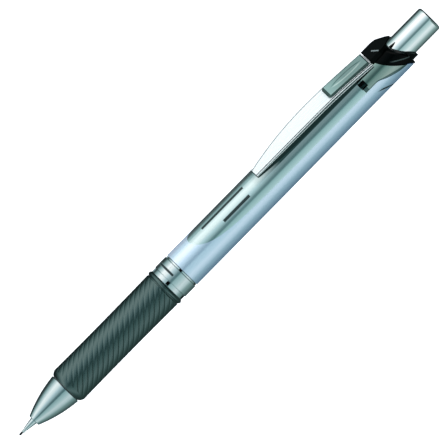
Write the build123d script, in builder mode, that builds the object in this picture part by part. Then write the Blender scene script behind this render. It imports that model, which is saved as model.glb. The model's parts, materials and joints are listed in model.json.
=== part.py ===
"""A push-button lead holder for 0.5 mm leads, lying at rest on a table with its clip against the surface.

Stations are distances along the pencil's axis, from the point of the lead (0) to the end of the push button.
Heights are distances from the axis towards the clip. Both are in millimetres.
"""

import os
from math import cos, radians, sin

from build123d import *

os.makedirs("parts", exist_ok=True)

# Driving dimensions
LENGTH = 145.0
LEAD_RADIUS = 0.28
BARREL_RADIUS = 5.18
GRIP_RING_RADIUS = 5.42  # the widest turned part, which the pencil lies on
BUTTON_RADIUS = 3.56
CLIP_DROOP = 22.2  # degrees below the horizontal at which the clip's edge meets the table
RUNNING = 0.03  # radial clearance of pieces that slide in one another

# Stations of the outside
SLEEVE_FRONT = 1.1
NIB_FRONT = 2.1
CONE_FRONT = 5.07
CONE_REAR = 16.15
GRIP_FRONT = 16.4
GRIP_REAR = 51.9
BAND_FRONT = 53.2
BAND_REAR = 56.85
BARREL_FRONT = 57.4
CLIP_TIP = 86.75
INLAY_FRONT = 113.15
SADDLE_FRONT = 120.5
CROWN_FRONT = 126.65
BUTTON_SKIRT = 126.2

# Stations of the mechanism
RETAINER_FRONT = 7.0
RETAINER_REAR = 9.4
CHUCK_FRONT = 13.1
RING_STOP = 14.15
RING_FRONT = 14.9
RING_REAR = 17.0
HOUSING_FRONT = 17.05
SPIGOT_REAR = 23.0
HOUSING_REAR = 27.8
COUPLING_FRONT = 28.1
TANK_FRONT = 31.2
LEAD_REAR = 60.0
TANK_STEP = 118.0
TANK_REAR = 131.0
ERASER_REAR = 140.0

# Radii of the mechanism
SLEEVE_RADIUS = 0.42
CHUCK_RADIUS = 1.0
CHUCK_HEAD_RADIUS = 1.45
HOUSING_RADIUS = 2.7
SPIGOT_RADIUS = 3.3
CORE_RADIUS = 4.15
TANK_RADIUS = 2.4
TANK_BORE = 1.9
TANK_HEAD_RADIUS = 3.0
TANK_HEAD_BORE = 2.55
BARREL_BORE = 4.2
CROWN_BORE = BUTTON_RADIUS + 0.1

# The clip: an arched channel, with a raised inlay near its root
CLIP_TIP_TOP = 5.74
CLIP_CROWN_STATION = 107.0
CLIP_CROWN_TOP = 7.2
CLIP_ROOT_STATION = 126.5
CLIP_SHEET = 0.5
CLIP_HALF_WIDTH = 2.9
CLIP_TIP_HALF_WIDTH = 1.43
INLAY_HALF_WIDTH = 2.2
INLAY_FRONT_TOP = 7.72
INLAY_REAR_TOP = 6.65
TAB_HALF_WIDTH = 1.6
TAB_REAR = 130.2
SADDLE_RADIUS = 5.24
SADDLE_BORE = 4.85
SADDLE_LENGTH = 13.0
SADDLE_GAP = 0.12  # between the saddle's edge and its recess in the barrel

# Frame: the origin is on the table, under the middle of the object
droop = radians(CLIP_DROOP)
INLAY_CORNER_ROUNDING = 0.13  # what the inlay's rounded edge takes off its reach
CLIP_REACH = INLAY_FRONT_TOP * cos(droop) + INLAY_HALF_WIDTH * sin(droop) - INLAY_CORNER_ROUNDING
ALONG = Vector(-1, 0, 0)
TO_CLIP = Vector(0, -cos(droop), -sin(droop))
SIDEWAYS = ALONG.cross(TO_CLIP)
POINT = Vector(LENGTH / 2, (CLIP_REACH - GRIP_RING_RADIUS) / 2, GRIP_RING_RADIUS)
AXIS = Axis(POINT, ALONG)
SIDE = Plane(origin=POINT, x_dir=ALONG, z_dir=SIDEWAYS)  # holds (station, height)
FACE = Plane(origin=POINT, x_dir=ALONG, z_dir=TO_CLIP)  # holds (station, distance sideways)


def across(station):
    """The plane across the axis at a station, with its y towards the clip."""
    return Plane(origin=POINT + ALONG * station, x_dir=SIDEWAYS * -1, z_dir=ALONG)


def height(point):
    """A point's height above the axis, towards the clip."""
    return (point - POINT).dot(TO_CLIP)


def sideways(point):
    """A point's distance to the side of the clip's plane of symmetry."""
    return abs((point - POINT).dot(SIDEWAYS))


def rim_radius(edge):
    """The smallest distance from the axis to an edge's ends and middle."""
    return min(((point - POINT).cross(ALONG)).length for point in (edge @ 0, edge @ 0.5, edge @ 1))


def half_section(*corners):
    """The closed outline through (station, height) corners, for turning about the axis."""
    with BuildSketch(SIDE) as section:
        with BuildLine():
            Polyline(*corners, close=True)
        make_face()
    return section.sketch


def save(piece, name):
    """Labels a finished piece and writes its file."""
    piece.part.label = name
    export_step(piece.part, f"parts/{name}.step")


# ---------------------------------------------------------------- the front end

with BuildPart() as writing_lead:
    revolve(
        half_section(
            (0, 0), (0, 0.16), (0.25, LEAD_RADIUS), (LEAD_REAR, LEAD_RADIUS), (LEAD_REAR, 0)
        ),
        axis=AXIS,
    )
save(writing_lead, "writing_lead")

with BuildPart() as lead_sleeve:
    bore = LEAD_RADIUS + RUNNING
    revolve(
        half_section(
            (SLEEVE_FRONT, bore),
            (SLEEVE_FRONT, SLEEVE_RADIUS - 0.06),
            (SLEEVE_FRONT + 0.12, SLEEVE_RADIUS),
            (RETAINER_FRONT, SLEEVE_RADIUS),
            (RETAINER_FRONT, bore),
        ),
        axis=AXIS,
    )
save(lead_sleeve, "lead_sleeve")

with BuildPart() as lead_retainer:
    revolve(
        half_section(
            (RETAINER_FRONT, 0.6),
            (RETAINER_FRONT, 1.1),
            (RETAINER_REAR, 1.1),
            (RETAINER_REAR, 0.7),
            (8.6, LEAD_RADIUS + 0.02),
            (7.8, LEAD_RADIUS + 0.02),
        ),
        axis=AXIS,
    )
save(lead_retainer, "lead_retainer")

THREAD_PITCH = 0.75
THREAD_DEPTH = 0.22
THREAD_TURNS = 7

with BuildPart() as tip_cone:
    with BuildSketch(SIDE):
        with BuildLine():
            nib = Polyline(
                (NIB_FRONT, SLEEVE_RADIUS),
                (NIB_FRONT, 0.5),
                (CONE_FRONT, 0.98),
                (CONE_FRONT, 1.5),
                (CONE_FRONT + 0.12, 1.62),
            )
            ogive = ThreePointArc(nib @ 1, (10.4, 3.43), (CONE_REAR - 0.12, 4.43))
            Polyline(
                ogive @ 1,
                (CONE_REAR, 4.36),
                (CONE_REAR, SPIGOT_RADIUS - THREAD_DEPTH),
                (SPIGOT_REAR, SPIGOT_RADIUS - THREAD_DEPTH),
                (SPIGOT_REAR, HOUSING_RADIUS + 0.05),
                (HOUSING_FRONT - 0.05, HOUSING_RADIUS + 0.05),
                (HOUSING_FRONT - 0.05, 2.1),
                (RING_STOP, 2.1),
                (RING_STOP, 1.7),
                (RETAINER_REAR, 1.7),
                (RETAINER_REAR, 1.1),
                (RETAINER_FRONT, 1.1),
                (RETAINER_FRONT, SLEEVE_RADIUS),
                nib @ 0,
            )
        make_face()
    revolve(axis=AXIS)
    for turn in range(THREAD_TURNS):
        crest = CONE_REAR + 1.3 + turn * THREAD_PITCH
        revolve(
            half_section(
                (crest - 0.3, SPIGOT_RADIUS - THREAD_DEPTH - 0.05),
                (crest - 0.1, SPIGOT_RADIUS),
                (crest + 0.1, SPIGOT_RADIUS),
                (crest + 0.3, SPIGOT_RADIUS - THREAD_DEPTH - 0.05),
            ),
            axis=AXIS,
        )
save(tip_cone, "tip_cone")

# ---------------------------------------------------------------- the clutch

SLIT_WIDTH = 0.22
SLIT_LENGTH = 9.0
CHUCK_REAR = 31.4

with BuildPart() as chuck:
    revolve(
        half_section(
            (CHUCK_FRONT, LEAD_RADIUS + RUNNING),
            (CHUCK_FRONT, 1.25),
            (CHUCK_FRONT + 0.2, CHUCK_HEAD_RADIUS),
            (CHUCK_FRONT + 1.2, CHUCK_HEAD_RADIUS),
            (CHUCK_FRONT + 2.9, CHUCK_RADIUS),
            (CHUCK_REAR, CHUCK_RADIUS),
            (CHUCK_REAR, 0.45),
            (CHUCK_FRONT + 4, 0.45),
            (CHUCK_FRONT + 3.2, LEAD_RADIUS + RUNNING),
        ),
        axis=AXIS,
    )
    with BuildSketch(across(CHUCK_FRONT)):
        with PolarLocations(CHUCK_HEAD_RADIUS / 2 + 0.2, 3):
            Rectangle(CHUCK_HEAD_RADIUS, SLIT_WIDTH)
    extrude(amount=SLIT_LENGTH, mode=Mode.SUBTRACT)
save(chuck, "chuck")

with BuildPart() as clutch_ring:
    revolve(
        half_section(
            (RING_FRONT, 1.4),
            (RING_FRONT, 1.82),
            (RING_FRONT + 0.1, 1.92),
            (RING_REAR - 0.1, 1.92),
            (RING_REAR, 1.82),
            (RING_REAR, 1.33),
            (RING_FRONT + 0.1, 1.33),
        ),
        axis=AXIS,
    )
save(clutch_ring, "clutch_ring")

HOUSING_BORE = 2.1
HOUSING_FLANGE_RADIUS = SPIGOT_RADIUS + 0.03

with BuildPart() as spring_housing:
    revolve(
        half_section(
            (HOUSING_FRONT, 1.25),
            (HOUSING_FRONT, HOUSING_RADIUS - 0.2),
            (HOUSING_FRONT + 0.2, HOUSING_RADIUS),
            (SPIGOT_REAR + 0.1, HOUSING_RADIUS),
            (SPIGOT_REAR + 0.1, HOUSING_FLANGE_RADIUS),
            (HOUSING_REAR, HOUSING_FLANGE_RADIUS),
            (HOUSING_REAR, HOUSING_BORE),
            (HOUSING_FRONT + 1.2, HOUSING_BORE),
            (HOUSING_FRONT + 1.2, 1.25),
        ),
        axis=AXIS,
    )
save(spring_housing, "spring_housing")

PRESS = 3.2  # how far the button travels
SPRING_WIRE = 0.2
SPRING_MEAN_RADIUS = 1.65
SPRING_FRONT = HOUSING_FRONT + 1.25 + SPRING_WIRE
SPRING_LENGTH = COUPLING_FRONT - PRESS - 0.05 - SPRING_WIRE - SPRING_FRONT  # as squeezed by a full press
SPRING_TURNS = 8

with BuildPart() as chuck_spring:
    coil = Helix(
        pitch=SPRING_LENGTH / SPRING_TURNS,
        height=SPRING_LENGTH,
        radius=SPRING_MEAN_RADIUS,
        center=POINT + ALONG * SPRING_FRONT,
        direction=ALONG,
    )
    with BuildSketch(Plane(origin=coil @ 0, z_dir=coil % 0)):
        Circle(SPRING_WIRE)
    sweep(path=coil, is_frenet=True)
save(chuck_spring, "chuck_spring")

with BuildPart() as tank_coupling:
    revolve(
        half_section(
            (COUPLING_FRONT, CHUCK_RADIUS),
            (COUPLING_FRONT, 1.85),
            (COUPLING_FRONT + 0.15, 2.0),
            (TANK_FRONT, 2.0),
            (TANK_FRONT, TANK_BORE),
            (34.0, TANK_BORE),
            (34.0, 1.7),
            (CHUCK_REAR + 0.6, 0.45),
            (CHUCK_REAR, 0.45),
            (CHUCK_REAR, CHUCK_RADIUS),
        ),
        axis=AXIS,
    )
save(tank_coupling, "tank_coupling")

# ---------------------------------------------------------------- the lead tank

with BuildPart() as lead_tank:
    revolve(
        half_section(
            (TANK_FRONT, TANK_BORE),
            (TANK_FRONT, TANK_RADIUS),
            (TANK_STEP - 1.5, TANK_RADIUS),
            (TANK_STEP - 0.9, TANK_HEAD_RADIUS),
            (TANK_REAR - 0.2, TANK_HEAD_RADIUS),
            (TANK_REAR, TANK_HEAD_RADIUS - 0.1),
            (TANK_REAR, TANK_HEAD_BORE),
            (TANK_STEP, TANK_HEAD_BORE),
            (TANK_STEP, TANK_BORE),
        ),
        axis=AXIS,
    )
save(lead_tank, "lead_tank")

SPARE_LEADS = 3
SPARE_FRONT = 35.0
SPARE_LENGTH = 60.0
SPARE_ORBIT = TANK_BORE - LEAD_RADIUS - 0.03  # they lie on the lowest side of the tank's bore
SPARE_SPACING = (2 * LEAD_RADIUS + 0.05) / SPARE_ORBIT  # radians from lead to lead

with BuildPart() as spare_leads:
    for number in range(SPARE_LEADS):
        turn = (number - (SPARE_LEADS - 1) / 2) * SPARE_SPACING
        lead_centre = Vector(0, sin(turn), -cos(turn)) * SPARE_ORBIT
        with BuildSketch(Plane(origin=POINT + ALONG * SPARE_FRONT + lead_centre, z_dir=ALONG)):
            Circle(LEAD_RADIUS)
        extrude(amount=SPARE_LENGTH)
save(spare_leads, "spare_leads")

FERRULE_RADIUS = TANK_HEAD_BORE - RUNNING
FERRULE_FRONT = TANK_STEP + 1.0
ERASER_RADIUS = 2.26

with BuildPart() as eraser_ferrule:
    revolve(
        half_section(
            (FERRULE_FRONT, 0),
            (FERRULE_FRONT, FERRULE_RADIUS - 0.3),
            (FERRULE_FRONT + 0.3, FERRULE_RADIUS),
            (TANK_REAR + 0.05, FERRULE_RADIUS),
            (TANK_REAR + 0.05, TANK_HEAD_RADIUS - 0.05),
            (TANK_REAR + 0.5, TANK_HEAD_RADIUS - 0.05),
            (TANK_REAR + 0.5, ERASER_RADIUS),
            (FERRULE_FRONT + 0.5, ERASER_RADIUS),
            (FERRULE_FRONT + 0.5, 0),
        ),
        axis=AXIS,
    )
save(eraser_ferrule, "eraser_ferrule")

with BuildPart() as eraser:
    revolve(
        half_section(
            (FERRULE_FRONT + 0.5, 0),
            (FERRULE_FRONT + 0.5, ERASER_RADIUS),
            (ERASER_REAR - 0.35, ERASER_RADIUS),
            (ERASER_REAR, ERASER_RADIUS - 0.35),
            (ERASER_REAR, 0),
        ),
        axis=AXIS,
    )
save(eraser, "eraser")

BUTTON_WALL = 0.5
BUTTON_END_WALL = 1.2
BUTTON_EDGE = 0.7

with BuildPart() as push_button:
    with BuildSketch(SIDE):
        with BuildLine():
            end = Line((BUTTON_SKIRT, BUTTON_RADIUS), (LENGTH - BUTTON_EDGE, BUTTON_RADIUS))
            edge = TangentArc(end @ 1, (LENGTH, BUTTON_RADIUS - BUTTON_EDGE), tangent=end % 1)
            Polyline(
                edge @ 1,
                (LENGTH, 0),
                (LENGTH - BUTTON_END_WALL, 0),
                (LENGTH - BUTTON_END_WALL, BUTTON_RADIUS - BUTTON_WALL),
                (BUTTON_SKIRT, BUTTON_RADIUS - BUTTON_WALL),
                end @ 0,
            )
        make_face()
    revolve(axis=AXIS)
save(push_button, "push_button")

# ---------------------------------------------------------------- the grip section

THREAD_BUSH_RADIUS = 3.75
THREAD_BUSH_REAR = 23.6
TANK_PASSAGE = 2.7
CORE_REAR = 62.0

with BuildPart() as thread_bush:
    revolve(
        half_section(
            (CONE_REAR + 0.3, HOUSING_FLANGE_RADIUS + 0.02),
            (CONE_REAR + 0.3, THREAD_BUSH_RADIUS),
            (THREAD_BUSH_REAR, THREAD_BUSH_RADIUS),
            (THREAD_BUSH_REAR, HOUSING_FLANGE_RADIUS + 0.02),
        ),
        axis=AXIS,
    )
save(thread_bush, "thread_bush")

with BuildPart() as grip_core:
    revolve(
        half_section(
            (CONE_REAR + 0.02, 3.55),
            (CONE_REAR + 0.02, CORE_RADIUS),
            (CORE_REAR, CORE_RADIUS),
            (CORE_REAR, TANK_PASSAGE),
            (HOUSING_REAR, TANK_PASSAGE),
            (HOUSING_REAR, HOUSING_FLANGE_RADIUS + 0.02),
            (THREAD_BUSH_REAR, HOUSING_FLANGE_RADIUS + 0.02),
            (THREAD_BUSH_REAR, THREAD_BUSH_RADIUS),
            (CONE_REAR + 0.3, THREAD_BUSH_RADIUS),
            (CONE_REAR + 0.3, 3.55),
        ),
        axis=AXIS,
    )
save(grip_core, "grip_core")

GRIP_WAIST_RADIUS = 5.05
GRIP_RING_FRONT = 50.45

with BuildPart() as rubber_grip:
    with BuildSketch(SIDE):
        with BuildLine():
            front = Polyline(
                (GRIP_REAR, CORE_RADIUS), (GRIP_FRONT, CORE_RADIUS), (GRIP_FRONT, 4.4), (17.6, 5.14)
            )
            waist = ThreePointArc(front @ 1, (31.5, GRIP_WAIST_RADIUS), (GRIP_RING_FRONT, 5.18))
            notch = Line(waist @ 1, (GRIP_RING_FRONT + 0.15, 5.05))
            ring = ThreePointArc(notch @ 1, (51.25, GRIP_RING_RADIUS), (GRIP_REAR, 5.02))
            Line(ring @ 1, front @ 0)
        make_face()
    revolve(axis=AXIS)
save(rubber_grip, "rubber_grip")

with BuildPart() as joint_ring:
    revolve(
        half_section(
            (GRIP_REAR, CORE_RADIUS),
            (GRIP_REAR, 5.02),
            (BAND_FRONT - 0.08, 5.02),
            (BAND_FRONT, 5.2),
            (BAND_REAR, 5.2),
            (BAND_REAR + 0.08, 4.98),
            (BARREL_FRONT, 4.98),
            (BARREL_FRONT, CORE_RADIUS),
        ),
        axis=AXIS,
    )
save(joint_ring, "joint_ring")

# ---------------------------------------------------------------- the crown's and saddle's side outlines

EDGE_HEIGHT = 5.4  # above the barrel's surface, where both slanting edges start
DIAGONAL = (1, -1)
LAP = 6.0  # half the width of a cut that crosses the whole pencil


def barrel_end():
    """The slanting edge where barrel and crown meet: a diagonal that turns square to the axis."""
    slant = Line((CROWN_FRONT, EDGE_HEIGHT), (132.85, -0.8))
    bend = TangentArc(slant @ 1, (133.95, -3.46), tangent=DIAGONAL)
    return bend, Line(bend @ 1, (133.95, -EDGE_HEIGHT))


def saddle_outline(gap):
    """The side outline of the saddle, drawn in by the gap: a square front, then a wing under the crown."""
    front_edge = SADDLE_FRONT + gap
    low = 2.15 + gap
    with BuildSketch(SIDE) as outline:
        with BuildLine():
            front = Polyline((133.6, 6.0), (front_edge, 6.0), (front_edge, low), (123.7, low))
            wing = Spline(
                front @ 1,
                (126.3, low - 0.9),
                (128.4, low - 1.8),
                (130.4, low - 2.5),
                (133.6, low - 2.95),
                tangents=[(1, 0), (1, -0.1)],
            )
            Line(wing @ 1, front @ 0)
        make_face()
    return outline.sketch


NOTCH_REAR = 122.2
NOTCH_LOW = 3.1
NOTCH_HIGH = 4.4

with BuildPart() as latch_notches:
    with BuildSketch(SIDE):
        with BuildLine():
            Polyline(
                (SADDLE_FRONT - 0.2, NOTCH_LOW),
                (NOTCH_REAR, NOTCH_LOW),
                (NOTCH_REAR, NOTCH_HIGH),
                (SADDLE_FRONT - 0.2, NOTCH_HIGH),
                close=True,
            )
        make_face()
    extrude(amount=LAP, both=True)

with BuildPart() as beyond_barrel:
    with BuildSketch(SIDE):
        with BuildLine():
            bend, tail = barrel_end()
            Polyline(tail @ 1, (140, -EDGE_HEIGHT), (140, EDGE_HEIGHT), (CROWN_FRONT, EDGE_HEIGHT))
        make_face()
    extrude(amount=LAP, both=True)

with BuildPart() as saddle_recess:
    with BuildSketch(across(SADDLE_FRONT)):
        Circle(SADDLE_RADIUS + 1)
        Circle(SADDLE_BORE, mode=Mode.SUBTRACT)
    extrude(amount=SADDLE_LENGTH)
    extrude(saddle_outline(0), amount=LAP, both=True, mode=Mode.INTERSECT)

with BuildPart() as rear_barrel:
    revolve(
        half_section(
            (BARREL_FRONT, CORE_RADIUS + 0.02),
            (BARREL_FRONT, BARREL_RADIUS - 0.1),
            (BARREL_FRONT + 0.1, BARREL_RADIUS),
            (136, BARREL_RADIUS),
            (136, BARREL_BORE),
            (CORE_REAR + 0.1, BARREL_BORE),
            (CORE_REAR + 0.1, CORE_RADIUS + 0.02),
        ),
        axis=AXIS,
    )
    add(saddle_recess.part, mode=Mode.SUBTRACT)
    add(latch_notches.part, mode=Mode.SUBTRACT)
    add(beyond_barrel.part, mode=Mode.SUBTRACT)
save(rear_barrel, "rear_barrel")

with BuildPart() as clip_saddle:
    with BuildSketch(across(SADDLE_FRONT)):
        Circle(SADDLE_RADIUS)
        Circle(SADDLE_BORE, mode=Mode.SUBTRACT)
    extrude(amount=SADDLE_LENGTH)
    extrude(saddle_outline(SADDLE_GAP), amount=LAP, both=True, mode=Mode.INTERSECT)
    add(latch_notches.part, mode=Mode.SUBTRACT)
    add(beyond_barrel.part, mode=Mode.SUBTRACT)
save(clip_saddle, "clip_saddle")

# ---------------------------------------------------------------- the crown

COLLAR_RADIUS = 4.35
CROWN_RADIUS = 5.28
EDGE_BEVEL = 0.3
SKIRT_RADIUS = BARREL_BORE - 0.02
SKIRT_FRONT = 119.6
HOUSING_HALF_WIDTH = 2.2
HOUSING_TOP = 6.68
VISOR_TIP = 134.6
VISOR_TIP_TOP = 5.75
POCKET_HALF_WIDTH = 1.85

with BuildPart() as clip_housing:
    with BuildSketch(SIDE):
        with BuildLine():
            face = Polyline(
                (131.9, 4.2), (128.05, 4.2), (CROWN_FRONT, EDGE_HEIGHT), (CROWN_FRONT, HOUSING_TOP),
                (129.0, 6.7),
            )
            dome = TangentArc(face @ 1, (VISOR_TIP, VISOR_TIP_TOP), tangent=(1, 0))
            Polyline(dome @ 1, (VISOR_TIP, VISOR_TIP_TOP - 0.15), (132.6, 5.95), (132.1, 5.4), face @ 0)
        make_face()
    extrude(amount=HOUSING_HALF_WIDTH, both=True)
    with BuildSketch(FACE):
        with BuildLine():
            flank = Line((CROWN_FRONT, -HOUSING_HALF_WIDTH), (129.5, -HOUSING_HALF_WIDTH))
            nose = Spline(
                flank @ 1, (132.3, -1.55), (133.6, -0.8), (VISOR_TIP, 0), (133.6, 0.8), (132.3, 1.55),
                (129.5, HOUSING_HALF_WIDTH), tangents=[(1, 0), (-1, 0)],
            )
            Polyline(nose @ 1, (CROWN_FRONT, HOUSING_HALF_WIDTH), flank @ 0)
        make_face()
    extrude(amount=8, mode=Mode.INTERSECT)
    roof = clip_housing.faces().sort_by(lambda f: height(f.center()))[-2:]
    fillet([e for f in roof for e in f.edges() if sideways(e.center()) > 1.2], radius=0.2)

with BuildPart() as inner_collar:
    with BuildSketch(across(CROWN_FRONT)):
        Circle(COLLAR_RADIUS)
    extrude(amount=12)
    with BuildSketch(SIDE):
        with BuildLine():
            bend, tail = barrel_end()
            back = Polyline(tail @ 1, (136.4, -EDGE_HEIGHT), (136.4, -3.24))
            rim = TangentArc((133.4, 2.7), back @ 1, tangent=DIAGONAL)
            Polyline(rim @ 0, (132.6, 3.6), (132.25, 4.4), (132.25, EDGE_HEIGHT), (CROWN_FRONT, EDGE_HEIGHT))
        make_face()
    extrude(amount=LAP, both=True, mode=Mode.INTERSECT)

with BuildPart() as outer_band:
    with BuildSketch(across(CROWN_FRONT)):
        Circle(CROWN_RADIUS)
    extrude(amount=12)
    with BuildSketch(SIDE):
        with BuildLine():
            bend, tail = barrel_end()
            back = Polyline(tail @ 1, (134.6, -EDGE_HEIGHT), (134.6, -0.24))
            ledge = TangentArc((133.3, 2.9), back @ 1, tangent=DIAGONAL)
            Polyline(ledge @ 0, (130.8, EDGE_HEIGHT), (CROWN_FRONT, EDGE_HEIGHT))
        make_face()
    extrude(amount=LAP, both=True, mode=Mode.INTERSECT)
    rims = [e for e in outer_band.edges() if rim_radius(e) > CROWN_RADIUS - 0.01]
    chamfer(rims, length=EDGE_BEVEL)

with BuildPart() as crown:
    add(outer_band.part)
    add(inner_collar.part)
    add(clip_housing.part)
    with BuildSketch(across(SKIRT_FRONT)):
        Circle(SKIRT_RADIUS)
    extrude(amount=131 - SKIRT_FRONT)
    with BuildSketch(across(SKIRT_FRONT)):
        Circle(CROWN_BORE)
    extrude(amount=20, mode=Mode.SUBTRACT)
    with BuildSketch(SIDE):
        with BuildLine():
            Polyline((CROWN_FRONT - 0.5, 5.0), (TAB_REAR + 0.4, 5.0), (TAB_REAR + 0.4, 6.02),
                     (CROWN_FRONT - 0.5, 6.02), close=True)
        make_face()
    extrude(amount=POCKET_HALF_WIDTH, both=True, mode=Mode.SUBTRACT)
save(crown, "crown")

with BuildPart() as guide_bush:
    revolve(
        half_section(
            (110.0, TANK_RADIUS + 0.05),
            (110.0, BARREL_BORE),
            (113.0, BARREL_BORE),
            (113.0, TANK_RADIUS + 0.25),
            (112.6, TANK_RADIUS + 0.05),
        ),
        axis=AXIS,
    )
save(guide_bush, "guide_bush")

# ---------------------------------------------------------------- the clip

CLIP_ROOT_TOP = 5.78


def clip_arch(drop):
    """The clip's arch, lowered by the drop: an arc from tip to root."""
    return ThreePointArc(
        (CLIP_TIP, CLIP_TIP_TOP - drop),
        (CLIP_CROWN_STATION, CLIP_CROWN_TOP - drop),
        (CLIP_ROOT_STATION, CLIP_ROOT_TOP - drop),
    )


def clip_plan(inset):
    """The clip seen from outside, drawn inside its edge by the inset: the sides bow in to the narrow tip."""
    half_tip = CLIP_TIP_HALF_WIDTH - inset
    half_width = CLIP_HALF_WIDTH - inset
    rear = CLIP_ROOT_STATION + 2
    with BuildSketch(FACE) as plan:
        with BuildLine():
            front = Line((CLIP_TIP + 3 * inset, -half_tip), (CLIP_TIP + 3 * inset, half_tip))
            upper = TangentArc((CLIP_CROWN_STATION, half_width), front @ 1, tangent=(-1, 0))
            lower = TangentArc((CLIP_CROWN_STATION, -half_width), front @ 0, tangent=(-1, 0))
            Polyline(upper @ 0, (rear, half_width), (rear, -half_width), lower @ 0)
        make_face()
    return plan.sketch


with BuildPart() as clip_hollow:
    with BuildSketch(SIDE):
        with BuildLine():
            under = clip_arch(CLIP_SHEET)
            Polyline(under @ 1, (CLIP_ROOT_STATION + 2, CLIP_ROOT_TOP - CLIP_SHEET),
                     (CLIP_ROOT_STATION + 2, 3), (CLIP_TIP, 3), under @ 0)
        make_face()
    extrude(amount=LAP, both=True)
    extrude(clip_plan(CLIP_SHEET), amount=12, mode=Mode.INTERSECT)

with BuildPart() as clip:
    with BuildSketch(SIDE):
        with BuildLine():
            top = clip_arch(0)
            skirt = ThreePointArc((CLIP_TIP, 5.24), (CLIP_CROWN_STATION, 6.25), (127.0, 4.84))
            Polyline(top @ 1, (CLIP_ROOT_STATION, EDGE_HEIGHT - 0.05), skirt @ 1)
            Line(skirt @ 0, top @ 0)
        make_face()
    extrude(amount=LAP, both=True)
    extrude(clip_plan(0), amount=12, mode=Mode.INTERSECT)
    add(clip_hollow.part, mode=Mode.SUBTRACT)
    with BuildSketch(SIDE):
        with BuildLine():
            Polyline(
                (CLIP_ROOT_STATION - 0.3, CLIP_ROOT_TOP - CLIP_SHEET),
                (TAB_REAR, CLIP_ROOT_TOP - CLIP_SHEET),
                (TAB_REAR, CLIP_ROOT_TOP),
                (CLIP_ROOT_STATION - 0.3, CLIP_ROOT_TOP),
                close=True,
            )
        make_face()
    extrude(amount=TAB_HALF_WIDTH, both=True)
save(clip, "clip")

with BuildPart() as clip_inlay:
    with BuildSketch(FACE):
        with Locations(((INLAY_FRONT + CLIP_ROOT_STATION) / 2, 0)):
            Rectangle(CLIP_ROOT_STATION - INLAY_FRONT, 2 * INLAY_HALF_WIDTH)
        fillet(vertices().group_by(Axis.X)[-1], radius=0.9)
    extrude(amount=12)
    with BuildSketch(SIDE):
        with BuildLine():
            seat = clip_arch(0)
            Polyline(seat @ 1, (CLIP_ROOT_STATION, INLAY_REAR_TOP), (INLAY_FRONT, INLAY_FRONT_TOP),
                     (CLIP_TIP, INLAY_FRONT_TOP), seat @ 0)
        make_face()
    extrude(amount=LAP, both=True, mode=Mode.INTERSECT)
    rim = clip_inlay.faces().sort_by(lambda f: height(f.center()))[-1].edges()
    fillet([e for e in rim if e.center().X > POINT.X - CLIP_ROOT_STATION + 0.1], radius=0.25)
    slope = Plane(
        origin=POINT + ALONG * INLAY_FRONT + TO_CLIP * INLAY_FRONT_TOP,
        x_dir=ALONG * (CLIP_ROOT_STATION - INLAY_FRONT) + TO_CLIP * (INLAY_REAR_TOP - INLAY_FRONT_TOP),
        z_dir=(ALONG * (INLAY_FRONT_TOP - INLAY_REAR_TOP) + TO_CLIP * (CLIP_ROOT_STATION - INLAY_FRONT)),
    )
    with BuildSketch(slope):
        with Locations((7.0, 0)):
            Ellipse(4.4, 0.75)
    extrude(amount=-0.15, mode=Mode.SUBTRACT)
save(clip_inlay, "clip_inlay")
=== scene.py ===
"""Looks of a push-button lead holder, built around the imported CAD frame.

The pencil lies on a table. A place on it is a station along its axis from the lead's point, a
radius from the axis, and a turn about the axis from the clip's side. Lengths are in millimetres
and turns in degrees, unless a comment says otherwise.
"""

import json
from math import cos, exp, hypot, pi, radians, sin, sqrt

import bmesh
import bpy
from mathutils import Matrix, Vector


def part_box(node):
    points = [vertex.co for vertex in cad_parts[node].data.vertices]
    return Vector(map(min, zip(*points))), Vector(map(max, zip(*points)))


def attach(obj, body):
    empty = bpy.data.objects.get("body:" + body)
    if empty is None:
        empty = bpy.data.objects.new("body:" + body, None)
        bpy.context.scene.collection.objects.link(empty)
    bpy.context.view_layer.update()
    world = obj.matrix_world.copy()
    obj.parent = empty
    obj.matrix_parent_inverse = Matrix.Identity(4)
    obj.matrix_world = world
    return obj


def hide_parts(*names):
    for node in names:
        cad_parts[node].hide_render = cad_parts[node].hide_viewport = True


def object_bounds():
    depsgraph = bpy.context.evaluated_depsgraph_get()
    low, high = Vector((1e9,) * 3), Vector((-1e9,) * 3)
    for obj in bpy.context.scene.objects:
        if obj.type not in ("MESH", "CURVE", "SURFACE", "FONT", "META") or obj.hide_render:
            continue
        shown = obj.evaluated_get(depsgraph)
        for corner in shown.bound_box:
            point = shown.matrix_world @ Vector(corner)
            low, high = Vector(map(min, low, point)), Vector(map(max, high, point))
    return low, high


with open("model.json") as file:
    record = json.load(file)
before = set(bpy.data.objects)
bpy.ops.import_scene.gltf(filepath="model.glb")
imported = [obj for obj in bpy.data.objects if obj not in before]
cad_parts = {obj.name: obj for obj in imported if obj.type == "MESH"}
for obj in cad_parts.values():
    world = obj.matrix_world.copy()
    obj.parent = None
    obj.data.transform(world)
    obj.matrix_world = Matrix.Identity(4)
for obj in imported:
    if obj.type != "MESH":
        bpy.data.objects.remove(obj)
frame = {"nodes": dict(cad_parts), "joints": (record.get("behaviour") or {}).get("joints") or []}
cad_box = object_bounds()

MM = 0.001

# ---------------------------------------------------------------- where the pencil lies

lead_low, lead_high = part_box("writing_lead")
POINT = Vector((lead_high.x, (lead_low.y + lead_high.y) / 2, (lead_low.z + lead_high.z) / 2))
clip_joint = next(joint for joint in frame["joints"] if joint["name"] == "clip_spring")
ALONG = Vector((-1, 0, 0))
SIDE = -Vector(clip_joint["axis"])
TO_CLIP = SIDE.cross(ALONG)


def place(station, radius, turn):
    """The point at a station, radius and turn, in metres."""
    angle = radians(turn)
    outward = TO_CLIP * cos(angle) + SIDE * sin(angle)
    return POINT + (ALONG * station + outward * radius) * MM


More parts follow.
